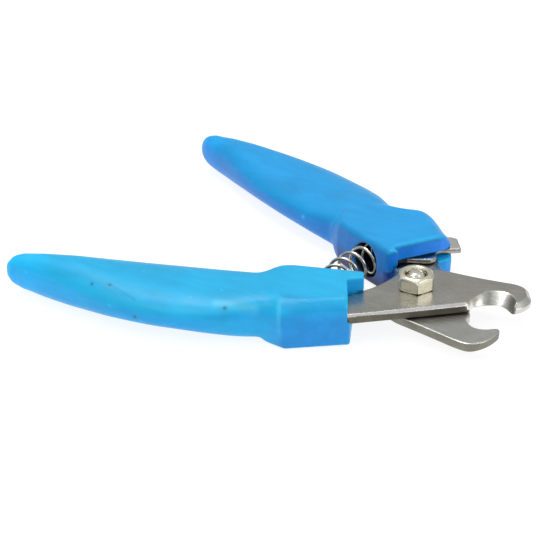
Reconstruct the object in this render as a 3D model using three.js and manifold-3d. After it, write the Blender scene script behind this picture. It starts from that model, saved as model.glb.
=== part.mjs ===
// Plier-type pet nail trimmer: two moulded grips, two stamped blades on an M5 pivot,
// a coil return spring between the grips and a thumb lever that locks the grips shut.
// Units are millimetres, +Z is up, +X points along the trimmer towards the jaws.
import * as THREE from 'three';
import { mergeVertices } from 'three/addons/utils/BufferGeometryUtils.js';
import Module from 'manifold-3d';

const wasm = await Module();
wasm.setup();

// ---------- driving dimensions (mm, degrees) ----------
const HALF_OPEN = 20.86;        // each half stands this far off the centre line when open
const OVERALL_L = 98.8;         // grip end to pivot axis
const BLADE_T = 2.35;           // blade plate thickness
const UP_Z0 = -0.25;            // underside of the upper blade
const UP_Z1 = UP_Z0 + BLADE_T;
const LO_Z1 = -0.5;             // top of the lower blade
const LO_Z0 = LO_Z1 - BLADE_T;
const GAP = 0.3;                // clearance between pieces that touch
const BLOCK_H = 6.0;            // half height of the block at the head of each grip
const BOLT_R = 2.5;             // M5
const NUT_AF = 8.0;             // M5 hexagon across flats
const NUT_H = 3.55;
const POCKET = { x: -20.1, mouth: -1.0, r: 4.4, depth: 6.5 };
const WIRE_R = 0.42, COIL_R = 3.55, COILS = 8.25;
const RIVET = { x: -14.5, y: -14.8, r: 1.4 };
const LEVER_Z0 = -0.2, LEVER_Z1 = 1.15;
const HOOD_Z = 1.65;            // underside of the hood over the lever
const SHIFT = { x: 31.48, y: 0.0, z: 6.0 };   // puts the origin at the middle of the base

// ---------- helpers ----------
const toSolid = (g) => {
  g = g.index ? g.clone() : g;
  const p = new THREE.BufferGeometry();
  p.setAttribute('position', g.getAttribute('position').clone());
  if (g.index) p.setIndex(g.index.clone());
  const m = mergeVertices(p, 1e-4);
  const idx = [];
  const src = m.index.array;
  for (let i = 0; i < src.length; i += 3) {
    if (src[i] !== src[i + 1] && src[i + 1] !== src[i + 2] && src[i] !== src[i + 2]) idx.push(src[i], src[i + 1], src[i + 2]);
  }
  return new wasm.Manifold(new wasm.Mesh({
    numProp: 3,
    vertProperties: new Float32Array(m.getAttribute('position').array),
    triVerts: new Uint32Array(idx),
  }));
};
const toGeometry = (s) => {
  const m = s.getMesh();
  const g = new THREE.BufferGeometry();
  const n = m.numProp, v = m.vertProperties, pos = new Float32Array((v.length / n) * 3);
  for (let i = 0; i < v.length / n; i++) { pos[i * 3] = v[i * n]; pos[i * 3 + 1] = v[i * n + 1]; pos[i * 3 + 2] = v[i * n + 2]; }
  g.setAttribute('position', new THREE.BufferAttribute(pos, 3));
  g.setIndex(new THREE.BufferAttribute(new Uint32Array(m.triVerts), 1));
  const flat = g.toNonIndexed();
  flat.computeVertexNormals();
  return flat;
};
const outline = (pts) => new THREE.Shape(pts.map(([x, y]) => new THREE.Vector2(x, y)));
const plate = (pts, z0, z1) => {
  const g = new THREE.ExtrudeGeometry(outline(pts), { depth: z1 - z0, bevelEnabled: false, curveSegments: 6 });
  g.translate(0, 0, z0);
  return toSolid(g);
};
const postZ = (x, y, r, z0, z1, seg = 40) => {
  const g = new THREE.CylinderGeometry(r, r, z1 - z0, seg);
  g.rotateX(Math.PI / 2); g.translate(x, y, (z0 + z1) / 2);
  return toSolid(g);
};
const postY = (x, y0, y1, z, r, seg = 40) => {
  const g = new THREE.CylinderGeometry(r, r, Math.abs(y1 - y0), seg);
  g.translate(x, (y0 + y1) / 2, z);
  return toSolid(g);
};
const slab = (x0, x1, y0, y1, z0, z1) => {
  const g = new THREE.BoxGeometry(x1 - x0, y1 - y0, z1 - z0);
  g.translate((x0 + x1) / 2, (y0 + y1) / 2, (z0 + z1) / 2);
  return toSolid(g);
};
const smooth = (xs, ys, x) => {                 // monotone cubic through a short table
  const n = xs.length;
  if (x <= xs[0]) return ys[0];
  if (x >= xs[n - 1]) return ys[n - 1];
  let i = 0; while (x > xs[i + 1]) i++;
  const d = (k) => (ys[k + 1] - ys[k]) / (xs[k + 1] - xs[k]);
  const slope = (k) => {
    if (k === 0) return d(0);
    if (k === n - 1) return d(n - 2);
    const a = d(k - 1), b = d(k);
    return a * b <= 0 ? 0 : 2 * a * b / (a + b);
  };
  const h = xs[i + 1] - xs[i], t = (x - xs[i]) / h, m0 = slope(i) * h, m1 = slope(i + 1) * h;
  const t2 = t * t, t3 = t2 * t;
  return (2 * t3 - 3 * t2 + 1) * ys[i] + (t3 - 2 * t2 + t) * m0 + (-2 * t3 + 3 * t2) * ys[i + 1] + (t3 - t2) * m1;
};

// ---------- moulded grip: sections from the tip to the head ----------
// columns: x, inner side y, outer side y, half thickness, roundness exponent
const SECTIONS = [
  [-96.0, -4.9, -11.0, 4.4, 2.1],
  [-92.0, -4.6, -12.0, 4.9, 2.1],
  [-88.7, -4.5, -13.3, 5.45, 2.1],
  [-80.3, -3.5, -16.8, 5.95, 2.1],
  [-68.6, -1.9, -21.4, 5.45, 2.15],
  [-56.8, -1.3, -23.6, 5.0, 2.2],
  [-46.8, -1.5, -24.0, 5.0, 2.35],
  [-40.9, -2.1, -23.2, 5.3, 2.7],
  [-36.3, -2.6, -21.2, 5.8, 3.2],
  [-32.5, -1.8, -20.2, 6.15, 4.2],
  [-29.5, -1.2, -21.2, 6.2, 5.2],
  [-26.6, -1.0, -22.6, 6.2, 5.6],
  [-20.7, -1.0, -21.2, 6.2, 5.8],
  [-14.9, -1.0, -19.4, 6.2, 6.0],
  [-7.0, -1.0, -17.6, 6.2, 6.0],
];
const col = (k) => SECTIONS.map((r) => r[k]);
const SX = col(0);
const gripBody = () => {
  const tip = -OVERALL_L, head = -7.0, rr = 5.2, U = 40, V = 50;
  const g = new THREE.CylinderGeometry(1, 1, 1, U, V, false);
  const p = g.getAttribute('position');
  const warp = (t) => {                          // more sections near the rounded tip
    const a = 0.14;
    return t < a ? { x: tip + rr * (1 - Math.cos((t / a) * Math.PI / 2)), k: Math.max(0.045, Math.sin((t / a) * Math.PI / 2)) }
      : { x: tip + rr + (t - a) / (1 - a) * (head - tip - rr), k: 1 };
  };
  for (let i = 0; i < p.count; i++) {
    const { x, k } = warp(p.getY(i) + 0.5);
    const yi = smooth(SX, col(1), x), yo = smooth(SX, col(2), x), t = smooth(SX, col(3), x), n = smooth(SX, col(4), x);
    const cx = p.getX(i), cz = p.getZ(i), rad = Math.min(1, Math.round(Math.hypot(cx, cz))), e = 2 / n;
    const a = Math.round(Math.atan2(cz, cx) / (2 * Math.PI / U)) * (2 * Math.PI / U);
    const snap = (v) => (Math.abs(v) < 1e-9 ? 0 : v), c = snap(Math.cos(a)), s = snap(Math.sin(a));
    const yy = Math.sign(c) * Math.pow(Math.abs(c), e), zz = Math.sign(s) * Math.pow(Math.abs(s), e);
    p.setXYZ(i, x, (yi + yo) / 2 + (yi - yo) / 2 * k * yy * rad, t * k * zz * rad);
  }
  let s = toSolid(g);
  if (s.volume() < 0) {
    const idx = g.index.array;
    for (let i = 0; i < idx.length; i += 3) { const q = idx[i]; idx[i] = idx[i + 1]; idx[i + 1] = q; }
    s = toSolid(g);
  }
  return s.intersect(slab(-110, 5, -40, 10, -BLOCK_H, BLOCK_H));
};

// tang outline shared by both blades, and the clearance slot around it
const TANG_NEAR = [[-15.5, -17.2], [-18.5, -17.0], [-20.0, -15.8], [-37.8, -15.0], [-39.4, -13.4], [-39.4, -10.6], [-38.0, -9.1], [-17.2, -9.0], [-15.7, -8.4]];
const SLOT = [[-4.0, -17.7], [-15.6, -17.65], [-18.7, -17.45], [-20.3, -16.2], [-38.0, -15.4], [-39.8, -13.6], [-39.8, -10.4], [-38.2, -8.7], [-17.3, -8.6], [-16.1, -8.1], [-14.9, -7.2], [-12.5, -4.4], [-10.0, -1.7], [-4.0, -1.7]];

// ---------- blades ----------
const UPPER = [
  ...[[-13.2, -16.8], [-2.0, -12.2], [12.6, -5.9]],
  [12.9, -4.4], [13.6, -2.4], [14.8, -0.4], [16.6, 1.2], [18.7, 1.9], [20.8, 1.7], [22.2, 0.6], [23.2, -1.5], [23.7, -3.6], [23.7, -5.8], [23.4, -7.6],
  [23.9, -8.6], [24.9, -8.2], [26.0, -6.6], [27.0, -3.4], [27.4, -0.8], [27.1, 1.4], [26.2, 3.8], [24.8, 5.2], [23.0, 5.9],
  [19.7, 6.4], [15.4, 7.1], [11.0, 8.0], [7.5, 8.8], [4.6, 9.5], [2.4, 9.3], [1.0, 8.6], [-0.7, 8.6], [-2.4, 8.3], [-3.6, 8.5], [-4.6, 8.65], [-5.4, 8.2], [-6.03, 7.7], [-5.3, 6.5],
  [-6.3, 3.0], [-9.4, -1.9], [-12.1, -4.7],
];
const LOWER = [
  ...[[-13.2, -16.8], [-2.0, -12.2], [12.6, -5.9]],
  [13.7, -5.5], [14.3, -4.6], [15.0, -3.4], [16.2, -2.2], [18.2, -1.6], [20.0, -1.9], [21.3, -2.9], [22.1, -4.1], [22.7, -5.3],
  [23.9, -5.0], [24.3, -3.4], [24.7, 0.4], [24.9, 3.4], [24.3, 5.7], [22.0, 6.2],
  [16.5, 7.1], [11.0, 8.2], [7.5, 9.0], [4.0, 9.7], [1.0, 9.6], [-1.6, 8.6], [-3.6, 7.2], [-5.4, 4.7], [-6.5, 2.3], [-9.4, -1.9], [-12.1, -4.7],
];
const bladeSolid = (pts, z0, z1) => plate([...TANG_NEAR.slice().reverse(), ...pts], z0, z1).subtract(postZ(0, 0, BOLT_R + GAP, z0 - 1, z1 + 1, 48));

// ---------- lock lever (outline at rest) ----------
const LEVER = [
  [-14.3, -3.1], [-12.2, -3.3], [-12.2, -6.2], [-11.4, -9.25], [-9.9, -11.2], [-8.8, -13.2], [-9.3, -14.9], [-11.2, -16.3], [-11.4, -18.2],
  [-9.7, -19.4], [-8.6, -21.9], [-9.1, -22.6], [-15.0, -25.7], [-16.2, -25.2], [-16.9, -23.7], [-15.6, -20.5], [-17.2, -16.8], [-17.6, -14.5], [-16.4, -11.5], [-14.6, -8.0],
];

// ---------- front grip ----------
const frontHandle = () => {
  let s = gripBody();
  s = s.subtract(slab(-14.75, 5, -40, -6.9, UP_Z1 - 3, 20));         // upper head face
  s = s.subtract(slab(-12.2, 5, -40, 10, -20, 20));                  // tab and inner corner
  s = s.subtract(slab(-13.3, 5, -40, 10, -20, UP_Z1 + GAP));         // lower head face
  s = s.subtract(plate(SLOT, UP_Z0 - GAP, UP_Z1 + GAP));             // slot for the tang
  s = s.subtract(postY(POCKET.x, POCKET.mouth - POCKET.depth, 3, 0, POCKET.r));
  return s;
};

// ---------- rear grip (drawn as the front one, mirrored afterwards) ----------
const HOOD_FRONT = [[-4, -30], [-10.9, -19.0], [-11.1, -14.0], [-11.5, -11.1], [-11.8, -8.1], [-12.4, -4.4], [-11.0, -3.6], [-11.0, 4], [-4, 4]];
const LOWER_FRONT = [[-4, -30], [-9.0, -21.0], [-8.7, -18.4], [-9.4, -16.4], [-11.4, -12.0], [-11.0, -3.6], [-11.0, 4], [-4, 4]];
const LEVER_GAP = [[-4, -30], [-24.0, -30], [-23.4, -16.4], [-21.4, -13.6], [-15.7, -8.6], [-15.7, -2.7], [-4, -2.7]];
const rearHandle = () => {
  let s = gripBody();
  s = s.subtract(plate(HOOD_FRONT, LO_Z1 + 0.2, 20));
  s = s.subtract(plate(LOWER_FRONT, -20, LO_Z1 + 0.25));
  s = s.subtract(plate(LEVER_GAP, LO_Z1 - 0.1, HOOD_Z));
  s = s.subtract(plate(SLOT, LO_Z0 - GAP, LO_Z1 + GAP));
  s = s.subtract(postY(POCKET.x, POCKET.mouth - POCKET.depth, 3, 0, POCKET.r));
  s = s.subtract(postZ(RIVET.x, RIVET.y, RIVET.r + GAP, -4.6, 4.6));
  return s;
};

// ---------- nut, bolt, rivet ----------
const pivotNut = () => {
  const z0 = UP_Z1 + GAP, z1 = z0 + NUT_H, rc = NUT_AF / Math.sqrt(3);
  const hex = new THREE.CylinderGeometry(rc, rc, NUT_H, 6, 1);
  hex.rotateX(Math.PI / 2); hex.rotateZ(THREE.MathUtils.degToRad(-71.6 - 90)); hex.translate(0, 0, (z0 + z1) / 2);
  const c = 0.45;
  const dome = new THREE.LatheGeometry([
    new THREE.Vector2(0, z0), new THREE.Vector2(rc - 0.1, z0), new THREE.Vector2(rc + 0.2, z0 + 0.3), new THREE.Vector2(rc + 0.2, z1 - c),
    new THREE.Vector2(NUT_AF / 2 - 0.15, z1), new THREE.Vector2(0, z1)], 60);
  dome.rotateX(Math.PI / 2);
  return toSolid(hex).intersect(toSolid(dome)).subtract(postZ(0, 0, BOLT_R + GAP, z0 - 1, z1 + 1, 48));
};
const pivotBolt = () => {
  const top = UP_Z1 + GAP + NUT_H + 0.15, h0 = LO_Z0 - GAP;
  const g = new THREE.LatheGeometry([
    new THREE.Vector2(0, h0 - 2.6), new THREE.Vector2(2.6, h0 - 2.5), new THREE.Vector2(3.9, h0 - 1.9), new THREE.Vector2(4.5, h0 - 0.8), new THREE.Vector2(4.6, h0),
    new THREE.Vector2(BOLT_R, h0), new THREE.Vector2(BOLT_R, top - 0.6), new THREE.Vector2(BOLT_R - 0.6, top - 0.05), new THREE.Vector2(0, top + 0.1)], 48);
  g.rotateX(Math.PI / 2);
  return toSolid(g);
};
const lockRivet = () => postZ(RIVET.x, RIVET.y, RIVET.r, -4.3, 4.3, 32);
const lockLever = () => plate(LEVER, LEVER_Z0, LEVER_Z1).subtract(postZ(RIVET.x, RIVET.y, RIVET.r + GAP, -3, 3, 32));

// ---------- return spring: a helix along straight - arc - straight ----------
const springSolid = () => {
  const a = THREE.MathUtils.degToRad(HALF_OPEN);
  const mouth = new THREE.Vector2(POCKET.x * Math.cos(a) - POCKET.mouth * Math.sin(a), POCKET.x * Math.sin(a) + POCKET.mouth * Math.cos(a));
  const dir = new THREE.Vector2(-Math.sin(a), Math.cos(a));
  const cx = mouth.x + mouth.y * dir.y / dir.x;      // centre of the arc lies on the centre line
  const R = Math.hypot(mouth.x - cx, mouth.y), inset = POCKET.depth - GAP;
  const arc = R * 2 * a, total = 2 * inset + arc;
  const at = (s) => {
    if (s < inset) return { p: mouth.clone().addScaledVector(dir, s - inset), t: dir.clone() };
    if (s > inset + arc) { const d = new THREE.Vector2(-dir.x, dir.y); return { p: new THREE.Vector2(mouth.x, -mouth.y).addScaledVector(d, s - inset - arc), t: d }; }
    const q = -a + (s - inset) / R;                  // -a .. a measured from -X
    return { p: new THREE.Vector2(cx - R * Math.cos(q), R * Math.sin(q)), t: new THREE.Vector2(Math.sin(q), Math.cos(q)) };
  };
  class Coil extends THREE.Curve {
    getPoint(u, target = new THREE.Vector3()) {
      const s = WIRE_R + u * (total - 2 * WIRE_R), { p, t } = at(s), w = u * COILS * 2 * Math.PI;
      const nx = -t.y, ny = t.x, c = COIL_R * Math.cos(w), z = COIL_R * Math.sin(w);
      return target.set(p.x + nx * c, p.y + ny * c, z);
    }
  }
  const wire = new THREE.Shape();
  wire.absarc(0, 0, WIRE_R, 0, 2 * Math.PI, false);
  const g = new THREE.ExtrudeGeometry(wire, { steps: Math.round(COILS * 13), extrudePath: new Coil(), curveSegments: 4, bevelEnabled: false });
  return toSolid(g);
};

// ---------- assembly ----------
const mat = (color, roughness, metalness) => new THREE.MeshStandardMaterial({ color, roughness, metalness });
const part = new THREE.Group();
const add = (name, solid, material, half) => {
  const mesh = new THREE.Mesh(toGeometry(solid), material);
  mesh.name = name;
  half.add(mesh);
};
const front = new THREE.Group(); front.rotation.z = THREE.MathUtils.degToRad(HALF_OPEN);
const rear = new THREE.Group(); rear.rotation.z = THREE.MathUtils.degToRad(-HALF_OPEN);
const centre = new THREE.Group();
for (const h of [front, rear, centre]) { h.position.set(SHIFT.x, SHIFT.y, SHIFT.z); part.add(h); }
const flip = (s) => s.mirror([0, 1, 0]);

add('front_handle', frontHandle(), mat(0x2aa2e6, 0.38, 0), front);
add('upper_blade', bladeSolid(UPPER, UP_Z0, UP_Z1), mat(0x8d8b84, 0.35, 1), front);
add('pivot_nut', pivotNut(), mat(0xb9b5a4, 0.28, 1), front);
add('pivot_bolt', pivotBolt(), mat(0xa8a498, 0.3, 1), front);
add('return_spring', springSolid(), mat(0xc9c9c4, 0.2, 1), centre);
add('rear_handle', flip(rearHandle()), mat(0x2aa2e6, 0.38, 0), rear);
add('lower_blade', flip(bladeSolid(LOWER, LO_Z0, LO_Z1).subtract(postZ(RIVET.x, RIVET.y, RIVET.r + GAP, -9, 3, 32))), mat(0x85847e, 0.38, 1), rear);
add('lock_lever', flip(lockLever()), mat(0xb5b5b0, 0.3, 1), rear);
add('lock_rivet', flip(lockRivet()), mat(0xa0a09a, 0.35, 1), rear);

export default part;
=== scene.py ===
import bpy, bmesh, math
import numpy as np
from mathutils import Vector, Matrix


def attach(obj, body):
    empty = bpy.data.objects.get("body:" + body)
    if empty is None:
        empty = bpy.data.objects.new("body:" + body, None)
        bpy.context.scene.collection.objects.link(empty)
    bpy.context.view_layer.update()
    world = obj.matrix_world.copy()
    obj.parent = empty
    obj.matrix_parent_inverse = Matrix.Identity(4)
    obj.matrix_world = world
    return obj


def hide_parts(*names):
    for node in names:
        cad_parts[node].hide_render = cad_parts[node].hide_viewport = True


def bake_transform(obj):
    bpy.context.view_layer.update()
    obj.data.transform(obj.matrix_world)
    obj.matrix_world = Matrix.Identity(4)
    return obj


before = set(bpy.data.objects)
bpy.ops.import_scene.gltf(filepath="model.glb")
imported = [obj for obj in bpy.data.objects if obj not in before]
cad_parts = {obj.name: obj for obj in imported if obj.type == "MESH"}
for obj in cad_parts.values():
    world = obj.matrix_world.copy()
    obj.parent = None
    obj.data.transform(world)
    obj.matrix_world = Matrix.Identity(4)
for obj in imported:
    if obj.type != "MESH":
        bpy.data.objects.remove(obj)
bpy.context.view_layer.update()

# ------------------------------------------------------------------ frame
HALF = math.radians(20.86)
SHIFT = np.array([31.48, 0.0, 6.0])
MM = 0.001


def to_row(P, half):
    """Local millimetres of the front half, the rear half (drawn mirrored) or the centre line, to row metres."""
    P = np.array(P, float).reshape(-1, 3).copy()
    if half == "rear":
        P[:, 1] *= -1
        a = -HALF
    elif half == "front":
        a = HALF
    else:
        a = 0.0
    c, s = math.cos(a), math.sin(a)
    Q = np.c_[c * P[:, 0] - s * P[:, 1], s * P[:, 0] + c * P[:, 1], P[:, 2]]
    return (Q + SHIFT) * MM


def new_mesh(name, verts, faces, half, smooth=True):
    V = to_row(verts, half)
    F = [tuple(f) for f in faces]
    if half == "rear":
        F = [f[::-1] for f in F]
    me = bpy.data.meshes.new(name)
    me.from_pydata(V.tolist(), [], F)
    me.validate()
    me.update()
    o = bpy.data.objects.new(name, me)
    bpy.context.scene.collection.objects.link(o)
    if smooth:
        me.polygons.foreach_set("use_smooth", np.ones(len(me.polygons), bool))
    return o


# ------------------------------------------------------------------ materials
def nodes_of(mat):
    mat.use_nodes = True
    nt = mat.node_tree
    b = next(n for n in nt.nodes if n.type == "BSDF_PRINCIPLED")
    return nt, b


def mapping(nt, scale=(1, 1, 1), rot=(0, 0, 0), loc=(0, 0, 0)):
    tc = nt.nodes.new("ShaderNodeTexCoord")
    mp = nt.nodes.new("ShaderNodeMapping")
    mp.inputs["Scale"].default_value = scale
    mp.inputs["Rotation"].default_value = rot
    mp.inputs["Location"].default_value = loc
    nt.links.new(tc.outputs["Object"], mp.inputs["Vector"])
    return mp


def noise(nt, vec, scale, detail=3, rough=0.5, dist=0.0):
    n = nt.nodes.new("ShaderNodeTexNoise")
    n.inputs["Scale"].default_value = scale
    n.inputs["Detail"].default_value = detail
    n.inputs["Roughness"].default_value = rough
    n.inputs["Distortion"].default_value = dist
    nt.links.new(vec, n.inputs["Vector"])
    return n


def ramp(nt, fac, stops):
    r = nt.nodes.new("ShaderNodeValToRGB")
    while len(r.color_ramp.elements) > 1:
        r.color_ramp.elements.remove(r.color_ramp.elements[0])
    r.color_ramp.elements[0].position = stops[0][0]
    r.color_ramp.elements[0].color = stops[0][1]
    for p, c in stops[1:]:
        e = r.color_ramp.elements.new(p)
        e.color = c
    nt.links.new(fac, r.inputs["Fac"])
    return r


def grey(v):
    return (v, v, v, 1)


def mix_rgb(nt, fac, a, b, mode="MIX"):
    m = nt.nodes.new("ShaderNodeMix")
    m.data_type = "RGBA"
    m.blend_type = mode
    for sock, val in ((0, fac), (6, a), (7, b)):
        if hasattr(val, "links"):
            nt.links.new(val, m.inputs[sock])
        else:
            m.inputs[sock].default_value = val
    return m.outputs[2]


def math_node(nt, op, a, b=None, clamp=False):
    m = nt.nodes.new("ShaderNodeMath")
    m.operation = op
    m.use_clamp = clamp
    for i, v in enumerate((a, b)):
        if v is None:
            continue
        if hasattr(v, "links"):
            nt.links.new(v, m.inputs[i])
        else:
            m.inputs[i].default_value = v
    return m.outputs[0]


def bump(nt, b, height, strength, distance, prev=None):
    n = nt.nodes.new("ShaderNodeBump")
    n.inputs["Strength"].default_value = strength
    n.inputs["Distance"].default_value = distance
    nt.links.new(height, n.inputs["Height"])
    if prev is not None:
        nt.links.new(prev, n.inputs["Normal"])
    nt.links.new(n.outputs["Normal"], b.inputs["Normal"])
    return n.outputs["Normal"]


# Grip blues: a lit top colour and a darker shaded side colour; painted light and shade, mixed by surface normal in
# grip_material.
BLUE_SHADED_SIDE = (0.003, 0.300, 0.740, 1)
BLUE_LIT_TOP = (0.006, 0.425, 0.760, 1)


def tone(c, k):
    return (c[0] * k * k, c[1] * k, c[2] * (0.75 + 0.25 * k), 1)


def grip_material(name, along, shade_dim, shaded_side):
    """Semi-gloss moulded plastic: slow colour drift, flow marks along the grip, fine skin texture, a few specks and
    hairline scratches; with painted light and shade: a lit top colour and a shaded side colour chosen by surface
    normal, painted highlights on sharp rims, and the per-vertex painted light, shade and dirt.
    """
    mat = bpy.data.materials.new(name)
    nt, b = nodes_of(mat)
    mp = mapping(nt, rot=(0, 0, -along))
    v = mp.outputs["Vector"]
    drift = noise(nt, v, 38, 3, 0.55)
    flow_map = mapping(nt, scale=(0.22, 1, 1), rot=(0, 0, -along))
    flow = noise(nt, flow_map.outputs["Vector"], 420, 3, 0.6, 0.4)
    geo = nt.nodes.new("ShaderNodeNewGeometry")
    sep = nt.nodes.new("ShaderNodeSeparateXYZ")
    nt.links.new(geo.outputs["Normal"], sep.inputs[0])
    # Painted light and shade: upward-facing surfaces take the lit top colour, steeper ones the shaded side colour.
    facing = ramp(nt, sep.outputs["Z"], [(0.0, tone(shaded_side, shade_dim)), (0.65, tone(BLUE_LIT_TOP, shade_dim))])
    swing = ramp(nt, drift.outputs["Fac"], [(0.30, grey(0.84)), (0.50, grey(0.96)), (0.72, grey(1.02))])
    skin_tone = mix_rgb(nt, 1.0, facing.outputs["Color"], swing.outputs["Color"], "MULTIPLY")
    fl = ramp(nt, flow.outputs["Fac"], [(0.35, grey(0.90)), (0.65, grey(1.02))])
    col = mix_rgb(nt, 1.0, skin_tone, fl.outputs["Color"], "MULTIPLY")
    speck = nt.nodes.new("ShaderNodeTexVoronoi")
    speck.inputs["Scale"].default_value = 115
    speck.inputs["Randomness"].default_value = 1.0
    nt.links.new(v, speck.inputs["Vector"])
    pick = math_node(nt, "LESS_THAN", speck.outputs["Distance"], 0.040)
    rare = nt.nodes.new("ShaderNodeSeparateColor")
    nt.links.new(speck.outputs["Color"], rare.inputs[0])
    chosen = math_node(nt, "GREATER_THAN", rare.outputs[0], 0.955)
    dot = math_node(nt, "MULTIPLY", pick, chosen)
    col = mix_rgb(nt, math_node(nt, "MULTIPLY", dot, 0.75), col, (0.006, 0.05, 0.12, 1))
    # Painted highlight: sharp convex rims (high pointiness) are lightened.
    rim = ramp(nt, geo.outputs["Pointiness"], [(0.515, grey(0)), (0.57, grey(1))])
    rim_highlight_colour = mix_rgb(nt, 1.0, col, (1.6, 1.30, 1.10, 1), "MULTIPLY")
    col = mix_rgb(nt, math_node(nt, "MULTIPLY", rim.outputs["Color"], 0.75), col, rim_highlight_colour)
    # Per-vertex painted light and shade, with dirt specks and scuffs, multiplied into the colour.
    painted_light_and_dirt = nt.nodes.new("ShaderNodeVertexColor")
    painted_light_and_dirt.layer_name = "painted_light_and_dirt"
    col = mix_rgb(nt, 1.0, col, painted_light_and_dirt.outputs["Color"], "MULTIPLY")
    nt.links.new(col, b.inputs["Base Color"])
    rr = noise(nt, v, 150, 4, 0.6)
    r = ramp(nt, rr.outputs["Fac"], [(0.3, grey(0.36)), (0.7, grey(0.46))])
    nt.links.new(r.outputs["Color"], b.inputs["Roughness"])
    b.inputs["Specular IOR Level"].default_value = 0.36
    b.inputs["IOR"].default_value = 1.5
    b.inputs["Subsurface Weight"].default_value = 0.05
    b.inputs["Subsurface Radius"].default_value = (0.3, 0.6, 1.0)
    b.inputs["Subsurface Scale"].default_value = 0.0012
    skin = noise(nt, v, 2600, 2, 0.5)
    n1 = bump(nt, b, skin.outputs["Fac"], 0.10, 0.00006)
    scr_map = mapping(nt, scale=(0.05, 1, 1), rot=(0, 0, -along + 0.35))
    scr = noise(nt, scr_map.outputs["Vector"], 900, 2, 0.6)
    sr = ramp(nt, scr.outputs["Fac"], [(0.64, grey(0)), (0.70, grey(1))])
    n2 = bump(nt, b, sr.outputs["Color"], 0.06, 0.00008, n1)
    waves = noise(nt, v, 70, 2, 0.5)
    bump(nt, b, waves.outputs["Fac"], 0.18, 0.0006, n2)
    return mat


def steel_material(name, base, rough, along, grain=0.05, dark=0.8, fine=5200, bumpy=0.10):
    """Ground stainless plate: fine grinding lines along one direction, with cloudy wear."""
    mat = bpy.data.materials.new(name)
    nt, b = nodes_of(mat)
    b.inputs["Metallic"].default_value = 1.0
    lines = mapping(nt, scale=(grain, 1, 1), rot=(0, 0, -along))
    g = noise(nt, lines.outputs["Vector"], fine, 3, 0.65)
    cloud_map = mapping(nt)
    cl = noise(nt, cloud_map.outputs["Vector"], 160, 4, 0.6)
    lo = tuple(c * dark for c in base[:3]) + (1,)
    c1 = ramp(nt, cl.outputs["Fac"], [(0.30, lo), (0.70, base)])
    c2 = ramp(nt, g.outputs["Fac"], [(0.30, grey(0.82)), (0.70, grey(1.0))])
    col = mix_rgb(nt, 1.0, c1.outputs["Color"], c2.outputs["Color"], "MULTIPLY")
    nt.links.new(col, b.inputs["Base Color"])
    r1 = ramp(nt, g.outputs["Fac"], [(0.3, grey(rough * 0.82)), (0.7, grey(rough * 1.18))])
    nt.links.new(r1.outputs["Color"], b.inputs["Roughness"])
    b.inputs["Anisotropic"].default_value = 0.25
    bump(nt, b, g.outputs["Fac"], bumpy, 0.00003)
    return mat


def plated_material(name, base, rough, mottling=0.12, scale=420):
    mat = bpy.data.materials.new(name)
    nt, b = nodes_of(mat)
    b.inputs["Metallic"].default_value = 1.0
    mp = mapping(nt)
    n = noise(nt, mp.outputs["Vector"], scale, 4, 0.6)
    lo = tuple(c * (1 - mottling) for c in base[:3]) + (1,)
    c = ramp(nt, n.outputs["Fac"], [(0.3, lo), (0.7, base)])
    nt.links.new(c.outputs["Color"], b.inputs["Base Color"])
    r = ramp(nt, n.outputs["Fac"], [(0.3, grey(rough * 1.3)), (0.7, grey(rough * 0.8))])
    nt.links.new(r.outputs["Color"], b.inputs["Roughness"])
    fine = noise(nt, mp.outputs["Vector"], 3000, 2, 0.5)
    bump(nt, b, fine.outputs["Fac"], 0.08, 0.00003)
    return mat


FRONT_DIR = HALF
REAR_DIR = -HALF
# One plastic for both grips: the rear copy is dimmed to 0.76 and keeps the darker side colour, a painted shade; the
# front takes a brighter side colour.
M_GRIP_F = grip_material("grip_blue_front", FRONT_DIR, 1.0, (0.004, 0.395, 0.860, 1))
M_GRIP_R = grip_material("grip_blue_rear", REAR_DIR, 0.76, BLUE_SHADED_SIDE)
M_UP = steel_material("blade_face_upper", (0.525, 0.51, 0.465, 1), 0.27, FRONT_DIR + 1.1, 0.06, 0.84)
M_LO = steel_material("blade_face_lower", (0.565, 0.565, 0.525, 1), 0.34, REAR_DIR - 0.9, 0.06, 0.84)
M_EDGE = steel_material("blade_sheared_edge", (0.185, 0.172, 0.138, 1), 0.42, FRONT_DIR, 0.3, 0.55, 3000, 0.3)
M_EDGE_LO = steel_material("blade_sheared_edge_lower", (0.29, 0.283, 0.235, 1), 0.40, REAR_DIR, 0.3, 0.65, 3000, 0.3)
M_GROUND = steel_material("blade_ground_bevel", (0.80, 0.79, 0.75, 1), 0.22, FRONT_DIR, 0.04, 0.9)
M_POLISH = steel_material("notch_polished", (0.84, 0.82, 0.76, 1), 0.30, FRONT_DIR, 1.0, 0.92, 900, 0.0)
M_HOOK = steel_material("hook_ground_face", (0.76, 0.75, 0.70, 1), 0.34, FRONT_DIR - 0.9, 0.05, 0.82, 4200, 0.2)


def add_reflection_bands(mat):
    """Wheel-polished notch: broad light and dark bands of painted reflection run round it."""
    nt = mat.node_tree
    b = next(n for n in nt.nodes if n.type == "BSDF_PRINCIPLED")
    src = b.inputs["Base Color"].links[0].from_socket
    v = nt.nodes.new("ShaderNodeVertexColor")
    v.layer_name = "reflection_band"
    nt.links.new(mix_rgb(nt, 1.0, src, v.outputs["Color"], "MULTIPLY"), b.inputs["Base Color"])


# Painted reflection bands on the polished notch.
add_reflection_bands(M_POLISH)
M_NUT = plated_material("nut_nickel", (0.84, 0.80, 0.66, 1), 0.22, 0.14)
M_BOLT = plated_material("bolt_nickel", (0.86, 0.84, 0.76, 1), 0.20, 0.22)
M_SPRING = plated_material("spring_wire_plated", (0.74, 0.72, 0.66, 1), 0.16, 0.12, 700)


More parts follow.
